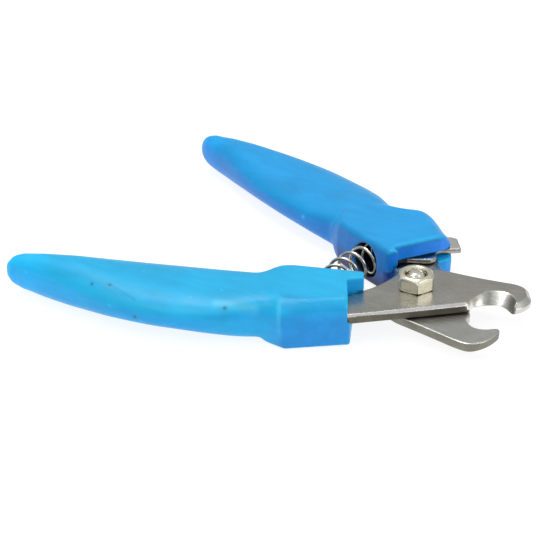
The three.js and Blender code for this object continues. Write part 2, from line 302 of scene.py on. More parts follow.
def shade_wire_underside(mat, dark, lo=-0.35, hi=0.55):
    """Painted shade: the wire's downward-facing side is darkened by surface normal, its top stays bright."""
    nt = mat.node_tree
    b = next(n for n in nt.nodes if n.type == "BSDF_PRINCIPLED")
    src = b.inputs["Base Color"].links[0].from_socket
    geo = nt.nodes.new("ShaderNodeNewGeometry")
    sep = nt.nodes.new("ShaderNodeSeparateXYZ")
    nt.links.new(geo.outputs["Normal"], sep.inputs[0])
    up = nt.nodes.new("ShaderNodeMapRange")
    up.inputs["From Min"].default_value = lo
    up.inputs["From Max"].default_value = hi
    nt.links.new(sep.outputs["Z"], up.inputs["Value"])
    nt.links.new(mix_rgb(nt, up.outputs["Result"], dark, src), b.inputs["Base Color"])


# Painted shade on the underside of the spring wire.
shade_wire_underside(M_SPRING, (0.05, 0.045, 0.035, 1))
M_LEVER = steel_material("lever_plated_steel", (0.80, 0.78, 0.74, 1), 0.24, REAR_DIR + 0.5)
M_LEVER_EDGE = steel_material("lever_sheared_edge", (0.50, 0.47, 0.42, 1), 0.30, REAR_DIR + 0.5, 0.4, 0.6, 2600, 0.2)
M_RIVET = plated_material("rivet_steel", (0.55, 0.54, 0.52, 1), 0.3)


def pocket_shade_material(name):
    """Near-black painted shade for the bottom of the spring pocket; also used on the lock lever's nose."""
    mat = bpy.data.materials.new(name)
    nt, b = nodes_of(mat)
    mp = mapping(nt)
    n = noise(nt, mp.outputs["Vector"], 500, 3, 0.6)
    c = ramp(nt, n.outputs["Fac"], [(0.3, (0.002, 0.004, 0.008, 1)), (0.7, (0.005, 0.016, 0.032, 1))])
    nt.links.new(c.outputs["Color"], b.inputs["Base Color"])
    r = ramp(nt, n.outputs["Fac"], [(0.3, grey(0.45)), (0.7, grey(0.65))])
    nt.links.new(r.outputs["Color"], b.inputs["Roughness"])
    return mat


# Near-black painted shade in the spring pocket and on the lock lever's nose.
M_POCKET_SHADE = pocket_shade_material("pocket_painted_shade")

# ------------------------------------------------------------------ signed distance modelling
SECTIONS = np.array([
    [-96.0, -4.9, -10.6, 4.4, 2.1],
    [-92.0, -4.6, -12.0, 4.9, 2.1],
    [-88.7, -4.5, -13.3, 5.4, 2.1],
    [-80.3, -3.6, -16.8, 5.85, 2.1],
    [-68.6, -2.1, -21.4, 5.4, 2.15],
    [-56.8, -1.5, -23.7, 5.1, 2.25],
    [-46.8, -1.8, -24.0, 5.2, 2.4],
    [-40.9, -2.5, -23.3, 5.5, 2.6],
    [-36.5, -3.2, -21.9, 5.75, 2.9],
    [-32.5, -2.6, -20.3, 5.8, 3.6],
    [-26.0, -2.4, -19.4, 5.6, 4.0],
    [-7.0, -2.4, -15.4, 5.6, 4.0],
])
TIP = -98.9


def pchip(xs, ys, x):
    h = np.diff(xs)
    d = np.diff(ys) / h
    m = np.zeros_like(ys)
    m[0], m[-1] = d[0], d[-1]
    same = d[:-1] * d[1:] > 0
    m[1:-1][same] = 2 * d[:-1][same] * d[1:][same] / (d[:-1][same] + d[1:][same])
    i = np.clip(np.searchsorted(xs, x) - 1, 0, len(xs) - 2)
    t = np.clip((x - xs[i]) / h[i], 0, 1)
    t2, t3 = t * t, t * t * t
    return (2 * t3 - 3 * t2 + 1) * ys[i] + (t3 - 2 * t2 + t) * m[i] * h[i] + (-2 * t3 + 3 * t2) * ys[i + 1] + (t3 - t2) * m[i + 1] * h[i]


def sd_poly(P, X, Y):
    P = np.array(P, float)
    d = np.full(X.shape, 1e18)
    s = np.ones(X.shape)
    n = len(P)
    for i in range(n):
        a, b = P[i], P[(i + 1) % n]
        e = b - a
        wx, wy = X - a[0], Y - a[1]
        t = np.clip((wx * e[0] + wy * e[1]) / (e @ e), 0, 1)
        bx, by = wx - e[0] * t, wy - e[1] * t
        d = np.minimum(d, bx * bx + by * by)
        c1, c2, c3 = Y >= a[1], Y < b[1], e[0] * wy > e[1] * wx
        s = np.where((c1 & c2 & c3) | (~c1 & ~c2 & ~c3), -s, s)
    return s * np.sqrt(d)


def r_and(a, b, r):
    """Intersection with a true fillet of radius r along the shared edge."""
    return np.minimum(-r, np.maximum(a, b)) + np.hypot(np.maximum(a + r, 0), np.maximum(b + r, 0))


def r_or(a, b, r):
    return -r_and(-a, -b, r)


def s_or(a, b, k):
    h = np.maximum(k - np.abs(a - b), 0) / k
    return np.minimum(a, b) - h * h * h * k / 6.0


def surface_nets(F, org, h):
    inside = F < 0
    nx, ny, nz = F.shape
    c = [inside[i:nx - 1 + i, j:ny - 1 + j, k:nz - 1 + k] for i in (0, 1) for j in (0, 1) for k in (0, 1)]
    cnt = sum(x.astype(np.int8) for x in c)
    act = (cnt > 0) & (cnt < 8)
    idx = np.full(act.shape, -1, np.int64)
    ijk = np.argwhere(act)
    idx[act] = np.arange(len(ijk))
    pos = np.zeros((len(ijk), 3))
    num = np.zeros(len(ijk))
    I, J, K = ijk.T
    for ax in range(3):
        others = [a for a in range(3) if a != ax]
        for p in (0, 1):
            for q in (0, 1):
                o = [0, 0, 0]
                o[others[0]], o[others[1]] = p, q
                a = F[I + o[0], J + o[1], K + o[2]]
                o2 = list(o)
                o2[ax] = 1
                b = F[I + o2[0], J + o2[1], K + o2[2]]
                m = (a < 0) != (b < 0)
                t = np.where(m, a / np.where(m, a - b, 1), 0)
                pt = np.array(o, float)[None, :].repeat(len(ijk), 0)
                pt[:, ax] = t
                pos += pt * m[:, None]
                num += m
    pos = ijk + pos / num[:, None]
    faces = []
    for ax in range(3):
        s0 = [slice(None)] * 3
        s1 = [slice(None)] * 3
        s0[ax], s1[ax] = slice(0, -1), slice(1, None)
        A, B = inside[tuple(s0)], inside[tuple(s1)]
        cr = np.argwhere(A != B)
        u, v = [(1, 2), (2, 0), (0, 1)][ax]
        ok = (cr[:, u] > 0) & (cr[:, v] > 0) & (cr[:, u] < F.shape[u] - 1) & (cr[:, v] < F.shape[v] - 1)
        cr = cr[ok]
        def cell(du, dv):
            q = cr.copy()
            q[:, u] -= du
            q[:, v] -= dv
            return idx[q[:, 0], q[:, 1], q[:, 2]]
        quad = np.c_[cell(1, 1), cell(0, 1), cell(0, 0), cell(1, 0)]
        flip = B[tuple(cr.T)]
        quad[flip] = quad[flip][:, ::-1]
        faces.append(quad)
    return pos, np.concatenate(faces)


def sample(F, P):
    P = np.clip(P, 0, np.array(F.shape) - 1.001)
    i = np.floor(P).astype(int)
    f = P - i
    out = 0
    for a in (0, 1):
        for b in (0, 1):
            for c in (0, 1):
                w = (f[:, 0] if a else 1 - f[:, 0]) * (f[:, 1] if b else 1 - f[:, 1]) * (f[:, 2] if c else 1 - f[:, 2])
                out = out + w * F[i[:, 0] + a, i[:, 1] + b, i[:, 2] + c]
    return out


def mesh_from_field(field, lo, hi, h, relax=3):
    """field(X, Y, Z) in millimetres, negative inside."""
    n = np.ceil((np.array(hi) - np.array(lo)) / h).astype(int) + 1
    ax = [lo[a] + h * np.arange(n[a]) for a in range(3)]
    X, Y, Z = np.meshgrid(*ax, indexing="ij", sparse=True)
    F = np.broadcast_to(field(X, Y, Z), tuple(n)).astype(float)
    P, Q = surface_nets(F, lo, h)
    G = np.gradient(F)
    E = np.concatenate([Q[:, [0, 1]], Q[:, [1, 2]], Q[:, [2, 3]], Q[:, [3, 0]]])
    deg = np.bincount(E.ravel(), minlength=len(P)).astype(float)
    for it in range(relax):
        S = np.zeros_like(P)
        for a in range(3):
            S[:, a] = np.bincount(E[:, 0], P[E[:, 1], a], len(P)) + np.bincount(E[:, 1], P[E[:, 0], a], len(P))
        P = P + 0.5 * (S / deg[:, None] - P)
        for _ in range(2):
            f = sample(F, P)
            g = np.stack([sample(G[a], P) for a in range(3)], 1)
            step = f[:, None] * g / np.maximum((g * g).sum(1), 1e-6)[:, None]
            ln = np.linalg.norm(step, axis=1)
            step *= np.minimum(1, 0.5 / np.maximum(ln, 1e-9))[:, None]
            P = P - step
    return np.array(lo) + P * h, Q


HS = 0.30
UP_Z0, UP_Z1 = -0.25, 2.10
LO_Z0, LO_Z1 = -2.85, -0.50
GAP = 0.3
PK = (-20.1, 4.4)
BLOCK_F = [(-5, -0.95), (-27.0, -0.95), (-31.2, -1.25), (-33.4, -2.3), (-35.6, -5.4), (-36.2, -10.0), (-35.2, -16.0), (-32.9, -19.9), (-27.6, -22.35), (-27.0, -22.3), (-13.2, -17.55), (-5, -14.8)]
BLOCK_R = [(-5, -0.95), (-27.0, -0.95), (-31.4, -1.3), (-34.4, -2.8), (-36.0, -6.0), (-36.0, -16.0), (-34.0, -19.4), (-31.2, -21.0), (-28.6, -22.7), (-26.4, -24.2), (-24.6, -24.95), (-22.6, -25.0), (-20.4, -24.5), (-16.2, -22.9), (-9.4, -21.0), (-5, -19.8)]
SLOT = [(-4.0, -13.3), (-13.2, -17.12), (-15.6, -17.55), (-18.7, -17.45), (-20.3, -16.2), (-38.0, -15.4), (-39.8, -13.6), (-39.8, -10.4), (-38.2, -8.7), (-17.3, -8.6), (-16.1, -8.1), (-14.9, -7.2), (-12.5, -4.4), (-10.0, -1.7), (-4.0, -1.7)]


def norm_field(F, ax_step):
    g = np.gradient(F, *ax_step)
    return F / np.maximum(np.sqrt(sum(x * x for x in g)), 0.02)


def ease(t):
    t = np.clip(t, 0, 1)
    return t * t * (3 - 2 * t)


def grip_field(X, Y, Z, block, lean, blunt, r_outer, k_neck):
    """Loft of the grip plus the squared head, before any cut."""
    x = X[:, 0, 0]
    S = SECTIONS
    yi, yo, t, n = (pchip(S[:, 0], S[:, k], x) for k in (1, 2, 3, 4))
    rr = 5.2
    q = np.clip((rr - (x - TIP)) / rr, 0, 1)
    k = (1 - q ** blunt) ** (1 / blunt)
    k = np.maximum(k, 0.56)
    w = ((yi - yo) / 2 * k)[:, None, None]
    tt = (t * k)[:, None, None]
    yc = ((yi + yo) / 2)[:, None, None]
    nn = n[:, None, None]
    g = (np.abs((Y - yc) / w) ** nn + np.abs(Z / tt) ** nn) ** (1 / nn) - 1
    g = np.minimum(g, 6.0)
    d = norm_field(g, (x[1] - x[0], Y[0, 1, 0] - Y[0, 0, 0], Z[0, 0, 1] - Z[0, 0, 0]))
    d = r_and(d, TIP + 0.05 - X + 0 * Y + 0 * Z, 1.1)
    shift = lean * (Z + 5.8) * ease((-X - 21.0) / 6.0)
    plan = sd_poly(block, X + shift + 0 * Y, Y + 0 * X + 0 * Z)
    plan = plan + 0.11 * np.maximum(np.abs(Z) - 0.5, 0)
    drop = 1.0 * ease((-30.5 - X) / 6.0)
    outer = ease((-Y - 9.0) / 6.0)
    r_outer = min(r_outer, 3.9) + max(r_outer - 3.9, 0) * ease((X + 18.0) / 5.0)
    r_top = 1.35 + (r_outer - 1.35 + (6.6 - r_outer) * 0.75 * ease((-X - 24.5) / 8.0)) * outer + 0.9 * ease((-X - 29.0) / 5.0)
    b = Z - (6.0 - drop) + 0 * X + 0 * Y
    head = np.minimum(-r_top, np.maximum(plan, b)) + np.hypot(np.maximum(plan + r_top, 0), np.maximum(b + r_top, 0))
    head = r_and(head, -Z - (6.0 - drop) + 0 * X + 0 * Y, 0.9)
    body = s_or(d, head, k_neck)
    return np.maximum(body, np.abs(Z) - 5.99)


def pocket(X, Y, Z, deep):
    rad = np.hypot(X - PK[0], Z) - PK[1]
    return r_and(rad + 0 * Y, -(Y + deep) + 0 * X + 0 * Z, 0.4)


def cut(a, b, r):
    return r_and(a, -b, r)


def prism(P, X, Y, Z, z0, z1):
    return np.maximum(sd_poly(P, X[:, :, 0], Y[:, :, 0])[:, :, None] + 0 * Z, np.abs(Z - (z0 + z1) / 2) - (z1 - z0) / 2)


def front_field(X, Y, Z):
    s = grip_field(X, Y, Z, BLOCK_F, 0.11, 2.3, 3.1, 2.3)
    end = [(-13.05, -30), (-13.2, -18.0), (-15.15, -7.6), (-15.2, -6.6), (-14.9, -6.35), (-11.6, -5.1), (-12.2, -1.4), (-12.2, 4), (0, 4), (0, -30)]
    upper = np.maximum(sd_poly(end, X[:, :, 0] + 0 * Y[:, :, 0], Y[:, :, 0] + 0 * X[:, :, 0])[:, :, None] + 0 * Z, -(Z - 0.6))
    s = cut(s, upper, 0.5)
    low = [(-12.75, -30), (-12.75, -17.7), (-13.75, -7.5), (-14.0, -5.2), (-12.4, -3.6), (-12.15, 4), (0, 4), (0, -30)]
    lower = np.maximum(sd_poly(low, X[:, :, 0] + 0 * Y[:, :, 0], Y[:, :, 0] + 0 * X[:, :, 0])[:, :, None] + 0 * Z, Z - 0.7)
    s = cut(s, lower, 0.45)
    s = cut(s, prism(SLOT, X, Y, Z, UP_Z0 - GAP, UP_Z1 + GAP), 0.2)
    s = cut(s, pocket(X, Y, Z, 7.5), 0.35)
    return s


HOOD = [(-4, -30), (-12.6, -30), (-12.0, -22.8), (-11.15, -21.2), (-10.5, -19.2), (-10.2, -16.8), (-11.5, -11.1), (-12.7, -5.9), (-12.7, -4.3), (-12.3, -3.9), (-10.8, -3.75), (-11.6, -1.6), (-11.9, 4), (-4, 4)]


def rear_field(X, Y, Z):
    s = grip_field(X, Y, Z, BLOCK_R, 0.0, 2.15, 5.0, 3.4)
    s = cut(s, np.maximum(sd_poly(HOOD, X[:, :, 0] + 0 * Y[:, :, 0], Y[:, :, 0] + 0 * X[:, :, 0])[:, :, None] + 0 * Z, -(Z - (LO_Z1 + 0.2))), 0.8)
    low = [(-4, -30), (-15.0, -30), (-12.6, -23.0), (-10.9, -21.7), (-9.6, -20.0), (-9.1, -18.1), (-9.6, -16.4), (-11.4, -12.0), (-10.9, -3.7), (-11.6, -1.6), (-11.9, 4), (-4, 4)]
    s = cut(s, np.maximum(sd_poly(low, X[:, :, 0] + 0 * Y[:, :, 0], Y[:, :, 0] + 0 * X[:, :, 0])[:, :, None] + 0 * Z, Z - (LO_Z1 + 0.25)), 1.0)
    s = cut(s, prism([(-4, -30), (-24.0, -30), (-23.4, -16.4), (-21.4, -13.6), (-15.7, -8.6), (-15.7, -2.7), (-4, -2.7)], X, Y, Z, LO_Z1 - 0.1, 1.36), 0.2)
    s = cut(s, prism([(-4, -17.2), (-23.4, -17.2), (-23.4, -16.4), (-21.4, -13.6), (-15.7, -8.6), (-15.7, -2.7), (-4, -2.7)], X, Y, Z, 0.5, 1.65), 0.2)
    s = cut(s, prism(SLOT, X, Y, Z, LO_Z0 - GAP, LO_Z1 + GAP), 0.2)
    s = cut(s, pocket(X, Y, Z, 7.5), 0.35)
    return s


def local_of(me, half):
    """Vertex coordinates in local millimetres."""
    n = len(me.vertices)
    c = np.zeros(n * 3)
    me.vertices.foreach_get("co", c)
    c = c.reshape(-1, 3) / MM - SHIFT
    a = -HALF if half == "front" else HALF
    x = math.cos(a) * c[:, 0] - math.sin(a) * c[:, 1]
    y = math.sin(a) * c[:, 0] + math.cos(a) * c[:, 1]
    return x, (-y if half == "rear" else y), c[:, 2]


SPECKS = [(-74.4, -17.3, 3.8, 0.42), (-69.9, -17.7, 4.3, 0.38), (-62.6, -22.8, -0.7, 0.42), (-41.3, -21.7, 3.6, 0.45), (-88.0, -7.0, 4.9, 0.35)]
# Lines painted on the front grip: (start, end, radius, tint). The first four are dark and pale scuff marks; the last is
# a painted highlight along the shoulder of the neck.
SCUFFS_AND_HIGHLIGHT = [
    ((-70.8, -17.2, 4.4), (-62.9, -21.2, 3.0), 0.28, (0.55, 0.78, 0.86)),
    ((-78.2, -17.6, 0.0), (-68.3, -21.4, 0.6), 0.25, (1.7, 1.14, 1.05)),
    ((-56.4, -23.2, 1.7), (-39.8, -23.0, 0.5), 0.25, (1.7, 1.14, 1.05)),
    ((-59.1, -21.7, 3.1), (-56.5, -21.9, 3.0), 1.6, (0.80, 0.88, 0.93)),
    # Painted highlight along the shoulder of the neck.
    ((-43.5, -20.9, 4.1), (-34.6, -20.4, 3.4), 1.10, (11.0, 1.24, 1.06)),
]
FLECK = (-46.3, -1.9, 1.0, 0.5)


def from_line(x, y, z, a, b):
    p = np.stack([x, y, z], 1)
    a, b = np.array(a), np.array(b)
    t = np.clip(((p - a) @ (b - a)) / ((b - a) @ (b - a)), 0, 1)
    return np.linalg.norm(p - (a + t[:, None] * (b - a)), axis=1)


def paint_light_and_dirt(me, half):
    """Per-vertex tone, mostly painted light and shade: painted shade darkens the sheltered inner wall of the head, most
    of all low down, and other recesses and sides; painted highlights lighten rounded rims, corners and a band along the
    grip; the tips are paler; a few specks of dirt and scuff lines.
    """
    x, y, z = local_of(me, half)
    # Painted shade: the inner wall next to the head is darkened, most of all low down, with blue kept deeper than red
    # and green.
    near = ease((x + 37.0) / 7.0)
    inner = ease((y + 3.0) / 1.6)
    low = 0.05 + 0.95 * ease((z + 5.2) / 7.0)
    shade_dim = 1 - near * inner * (1 - 0.84 * low)
    c = np.ones((len(x), 4))
    c[:, :3] = np.stack([shade_dim, shade_dim, shade_dim ** 0.7], 1)
    c[:, :3] *= (1 + 0.24 * ease((-84.0 - x) / 10.0))[:, None]

    def tint(weight, rgb):
        c[:, :3] *= 1 + weight[:, None] * (np.array(rgb) - 1)

    if half == "front":
        # Painted shade: the outer side wall of the front head is darkened, more towards the bottom.
        shaded_side = ease((x + 29.3) / 1.6) * ease((-15.0 - y) / 3.0)
        tint(shaded_side * (0.45 + 0.55 * ease((3.6 - z) / 3.2)), (0.72, 0.72, 0.86))
        # Painted light: the lower part of the neck in front of the head is lightened.
        tint(ease((x + 50.0) / 8.0) * ease((-29.5 - x) / 3.0) * ease((2.0 - z) / 2.0), (1.15, 1.15, 1.05))
        # Painted highlight: a bright line down the rounded back corner of the front head, strongest in its upper part.
        edge = np.exp(-(((x + 27.75 + 0.11 * (z + 5.8)) / 0.55) ** 2)) * ease((-18.0 - y) / 1.5)
        tint(edge * ease((z + 4.5) / 4.0), (8.0, 1.30, 1.10))
        # Painted light: a band at mid-height along the outer side of the front grip is lightened.
        tint(np.exp(-((z - 1.8) / 1.9) ** 2) * ease((-44.0 - x) / 8.0) * ease((x + 97.0) / 8.0) * ease((-12.0 - y) / 3.0), (1.5, 1.13, 1.06))
        for px, py, pz, r in SPECKS:
            tint(np.exp(-((x - px) ** 2 + (y - py) ** 2 + (z - pz) ** 2) / r ** 2), (0.5, 0.30, 0.35))
        # Scuff lines and one painted highlight line.
        for a, b, r, rgb in SCUFFS_AND_HIGHLIGHT:
            tint(np.exp(-(from_line(x, y, z, a, b) / r) ** 2), rgb)
    else:
        d = sd_poly(HOOD, x, y)
        # Painted highlights: the rounded top-front edge of the hood and the top inner edge of the head are lightened.
        lip_highlight = np.exp(-((d - 0.35) / 0.55) ** 2) * ease((z - 4.7) / 0.7) * ease((x + 14.5) / 1.0)
        tint(lip_highlight, (3.0, 1.24, 1.14))
        lip_highlight = np.exp(-((y + 1.35) / 0.55) ** 2) * ease((z - 4.6) / 0.7) * ease((x + 36.0) / 4.0) * ease((-10.0 - x) / 1.5)
        tint(lip_highlight, (1.3, 1.15, 1.05))
        # Painted shade colour: the hood's front face is tinted a deeper blue.
        tint(ease((0.45 - d) / 0.3) * ease((z + 0.6) / 0.4) * ease((4.9 - z) / 0.5), (0.9, 1.08, 1.35))
        # Painted shade: the low corner under the hood, beside the blades, is darkened.
        tint(ease((0.5 - z) / 0.4) * ease((x + 13.4) / 0.6) * ease((y + 8.0) / 2.0), (0.3, 0.40, 0.60))
        # Painted highlight: the rounded outer end of the lower wall is lightened.
        tint(ease((-0.3 - z) / 0.5) * ease((-14.5 - y) / 1.5) * ease((x + 13.5) / 1.5), (1.8, 1.35, 1.2))
        tint(np.exp(-((x - FLECK[0]) ** 2 + (y - FLECK[1]) ** 2 + (z - FLECK[2]) ** 2) / FLECK[3] ** 2), (8.0, 2.0, 1.3))
    at = me.color_attributes.new("painted_light_and_dirt", "FLOAT_COLOR", "POINT")
    at.data.foreach_set("color", c.ravel())


def tag_pocket(o, half):
    """Faces well inside the spring pocket take the near-black painted-shade material."""
    me = o.data
    n = len(me.polygons)
    c = np.zeros(n * 3)
    me.polygons.foreach_get("center", c)
    c = c.reshape(-1, 3) / MM - SHIFT
    a = -HALF if half == "front" else HALF
    x = math.cos(a) * c[:, 0] - math.sin(a) * c[:, 1]
    y = math.sin(a) * c[:, 0] + math.cos(a) * c[:, 1]
    if half == "rear":
        y = -y
    deep = (np.hypot(x - PK[0], c[:, 2]) < PK[1] + 0.25) & (y < -1.45) & (y > -8.0)
    me.polygons.foreach_set("material_index", deep.astype(np.int32))


def make_grip(name, field, half, node, mat):
    P, Q = mesh_from_field(field, (-100.2, -26.2, -6.8), (-6.2, 1.0, 6.8), HS)
    o = new_mesh(name, P, Q, half)
    o.data.materials.append(mat)
    o.data.materials.append(M_POCKET_SHADE)
    tag_pocket(o, half)
    paint_light_and_dirt(o.data, half)
    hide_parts(node)
    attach(o, "front" if half == "front" else "rear")
    return o


front_grip = make_grip("front_grip", front_field, "front", "front_handle", M_GRIP_F)
rear_grip = make_grip("rear_grip", rear_field, "rear", "rear_handle", M_GRIP_R)


# ------------------------------------------------------------------ stamped plates
def catmull(P, sharp, step=0.25):
    """Closed smooth outline through P; corners listed in sharp stay sharp. Returns points and a corner flag."""
    n = len(P)
    P = [np.array(p, float) for p in P]
    pts, flag = [], []
    for i in range(n):
        p1, p2 = P[i], P[(i + 1) % n]
        p0 = P[i - 1] if i not in sharp else 2 * p1 - p2
        p3 = P[(i + 2) % n] if (i + 1) % n not in sharp else 2 * p2 - p1
        L = np.linalg.norm(p2 - p1)
        straight = i in sharp and (i + 1) % n in sharp
        m = 1 if straight else max(2, int(L / step))
        t01, t12, t23 = (max(np.linalg.norm(b - a), 1e-6) ** 0.5 for a, b in ((p0, p1), (p1, p2), (p2, p3)))
        m1 = (p2 - p1) + t12 * ((p1 - p0) / t01 - (p2 - p0) / (t01 + t12))
        m2 = (p2 - p1) + t12 * ((p3 - p2) / t23 - (p3 - p1) / (t12 + t23))
        for k in range(m):
            t = k / m
            pts.append((2 * t**3 - 3 * t**2 + 1) * p1 + (t**3 - 2 * t**2 + t) * m1 + (-2 * t**3 + 3 * t**2) * p2 + (t**3 - t**2) * m2)
            flag.append(k == 0 and i in sharp)
    return np.array(pts), flag


FAR_SIDE = [
    (19.7, 6.4), (15.4, 7.1), (11.0, 8.0), (7.5, 8.8), (4.6, 9.5), (2.4, 9.3), (1.0, 8.6), (-0.7, 8.6), (-2.4, 8.3), (-3.6, 8.5), (-4.6, 8.65), (-5.4, 8.2), (-6.03, 7.7), (-5.3, 6.5),
    (-6.3, 3.0), (-9.4, -1.9), (-12.1, -4.7), (-15.7, -8.4), (-17.2, -9.0), (-38.0, -9.1), (-39.4, -10.6), (-39.4, -13.4), (-37.8, -15.0), (-20.0, -15.8), (-18.5, -17.0),
    (-15.5, -17.2), (-13.2, -16.8), (-2.0, -12.2),
]
HOOK_ARC = [(21.4 + r * math.cos(math.radians(a)), 0.45 + r * math.sin(math.radians(a))) for a, r in ((a, 5.65 + 0.28 * math.exp(-((a - 2) / 24) ** 2) + 0.42 * math.exp(-((a - 40) / 19) ** 2)) for a in (-57, -44, -31, -18, -5, 8, 21, 34, 47, 60, 73))]
UP_TOP = [
    (12.6, -5.95), (13.2, -4.4), (13.98, -2.76), (15.0, -1.0), (16.26, 0.41), (17.7, 1.3), (19.27, 1.68), (20.7, 1.6), (21.94, 1.04), (23.0, 0.0), (23.7, -1.29), (24.0, -2.6), (24.0, -4.2),
] + HOOK_ARC + FAR_SIDE
UP_BOT = [
    (13.6, -5.52), (13.72, -4.75), (13.95, -4.05), (14.6, -3.4), (15.7, -2.65), (17.2, -2.0), (18.7, -1.65), (19.8, -1.58), (20.9, -2.05), (21.95, -3.05), (22.65, -3.95), (23.15, -4.6), (23.6, -4.85),
] + HOOK_ARC + FAR_SIDE
UP_SHARP = {0, 12, 36, 37, 41, 42, 43, 44, 45, 46, 47, 48, 49, 50, 51}
OUTER = [(12.6, -5.95), (18.0, -7.2), (22.6, -6.6), (24.0, -4.9)] + HOOK_ARC + FAR_SIDE
LOWER = [
    (12.6, -5.9), (13.4, -5.3), (14.2, -4.75), (14.9, -3.95), (15.1, -3.1), (15.75, -2.25), (17.2, -1.55), (18.9, -1.35), (20.3, -1.9), (21.5, -3.1), (22.25, -4.5), (22.75, -5.2), (23.5, -5.3),
    (24.3, -4.6), (25.05, -2.6), (25.5, 0.2), (25.1, 2.7), (23.9, 4.85), (21.1, 6.05),
    (16.5, 7.05), (11.0, 8.2), (7.5, 9.0), (4.0, 9.7), (1.0, 9.6), (-1.6, 8.6), (-3.6, 7.2), (-5.4, 4.7), (-6.5, 2.3), (-9.4, -1.9), (-12.1, -4.7),
    (-15.7, -8.4), (-17.2, -9.0), (-38.0, -9.1), (-39.4, -10.6), (-39.4, -13.4), (-37.8, -15.0), (-20.0, -15.8), (-18.5, -17.0), (-15.5, -17.2), (-13.2, -16.8), (-2.0, -12.2),
]
LO_SHARP = {0, 29, 30, 31, 32, 33, 34, 35, 36, 37, 38, 39, 40}
LEVER = [
    (-14.8, -3.2), (-13.3, -3.4), (-13.9, -5.6), (-13.2, -8.3), (-10.9, -10.8), (-9.2, -13.2), (-9.5, -14.9), (-11.2, -16.3), (-11.5, -18.0),
    (-10.5, -19.8), (-8.95, -22.4), (-9.2, -22.85), (-13.7, -25.6), (-15.1, -25.1), (-16.9, -23.4), (-15.7, -20.5), (-17.2, -16.8), (-17.6, -14.5), (-16.4, -11.5), (-14.9, -8.0),
]
LE_SHARP = {0, 1, 9, 10, 11, 12, 13, 14}
RIV = (-14.5, -14.8)
HB = 0.17


def field_plate(name, half, z0, z1, outline, chamfer_top, chamfer_bottom, taper, holes, mats, pick, h, outline_bottom=None, crisp=0.08, rim=None):
    """Plate with an edge chamfer whose width varies along the outline; the wall leans where the bottom outline differs from the top one."""
    P = np.array(outline)
    lo = (P[:, 0].min() - 3 * h, P[:, 1].min() - 3 * h, z0 - 2.5 * h)
    hi = (P[:, 0].max() + 3 * h + 0.3, P[:, 1].max() + 3 * h + 0.3, z1 + 2.5 * h)

    def field(X, Y, Z):
        X2, Y2 = X[:, :, 0] + 0 * Y[:, :, 0], Y[:, :, 0] + 0 * X[:, :, 0]
        top = sd_poly(outline, X2, Y2)[:, :, None]
        bot = top if outline_bottom is None else sd_poly(outline_bottom, X2, Y2)[:, :, None]
        t = np.clip((Z - z0) / (z1 - z0), 0, 1)
        a = bot * (1 - t) + top * t + taper * (1 - t)
        for (cx, cy, r) in holes:
            a = r_and(a, r - np.hypot(X2 - cx, Y2 - cy)[:, :, None] + 0 * Z, 0.01)
        wt = chamfer_top(X2, Y2)[:, :, None]
        edge = a if rim is None else sd_poly(rim, X2, Y2)[:, :, None] + 0 * Z
        wb = chamfer_bottom(X2, Y2)[:, :, None]
        d = r_and(a, Z - z1 + 0 * a, crisp)
        d = r_and(d, (a + (Z - z1) + np.minimum(wt, 0.16)) * 0.7071, crisp)
        d = r_and(d, (edge + (Z - z1) + wt) * 0.7071, max(crisp, 0.12))
        d = r_and(d, z0 - Z + 0 * a, crisp)
        return r_and(d, (a + (z0 - Z) + wb) * 0.7071, crisp)

    V, Q = mesh_from_field(field, lo, hi, h, 3)
    o = new_mesh(name, V, Q, half)
    me = o.data
    for m in mats:
        me.materials.append(m)
    n = len(me.polygons)
    nor = np.zeros(n * 3)
    me.polygons.foreach_get("normal", nor)
    nor = nor.reshape(-1, 3)
    C = V[Q].mean(1)
    me.polygons.foreach_set("material_index", pick(C[:, 0], C[:, 1], C[:, 2], nor[:, 2]).astype(np.int32))
    return o


def up_top_chamfer(X, Y):
    near = ease((X + 15.6) / 0.6) * ease((14.8 - X) / 0.8) * ease((0.43 * X - 9.0 - Y) / 1.0)
    hook = ease((X - 21.8) / 2.2) * ease((6.2 - Y) / 4.0)
    return 0.12 + 0.52 * near + 1.10 * hook


def up_pick(x, y, z, nz):
    out = np.where(np.abs(nz) > 0.93, 0, np.where(nz > 0.35, 2, 1))
    r = np.hypot(x - 21.4, y - 0.45)
    hook = (x > 21.5) & (r > 3.4) & (nz < 0.93) & (nz > -0.5) & ~((x < 24.15) & (y < -1.0) & (r < 4.9) & (x < 23.3 + 0.0 * y))
    out = np.where(hook, 4, out)
    inner = np.hypot(x - 18.4, y + 4.6)
    front = (y + 5.95 - 0.428 * (x - 12.6)) * 0.919
    notch = (x > 12.5) & ((front > 0.13) | (x > 15.0)) & (x < 24.1) & (inner < 6.6) & (y < 1.95) & (nz < 0.9) & (nz > -0.6) & (x < 24.05 - 0.25 * np.clip(y + 1.3, 0, 9))
    return np.where(notch & (z > UP_Z1 - 0.13), 0, np.where(notch, 3, out))


def lo_pick(x, y, z, nz):
    out = np.where(np.abs(nz) > 0.93, 0, np.where(nz > 0.35, 2, 1))
    notch = (x > 13.0) & (x < 22.9) & (y < -1.2) & (np.abs(nz) < 0.9)
    return np.where(notch, 3, out)


def const(v):
    return lambda X, Y: v + 0 * X


up_top = catmull(UP_TOP, UP_SHARP, 0.5)[0]
up_bot = catmull(UP_BOT, UP_SHARP, 0.5)[0]
upper = field_plate("upper_blade_plate", "front", UP_Z0, UP_Z1, up_top, up_top_chamfer, const(0.10), 0.0, [(0, 0, 2.8)], [M_UP, M_EDGE, M_GROUND, M_POLISH, M_HOOK], up_pick, HB, up_bot, 0.08, catmull(OUTER, {0, 1, 2, 3}, 0.5)[0])
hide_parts("upper_blade")
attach(upper, "front")



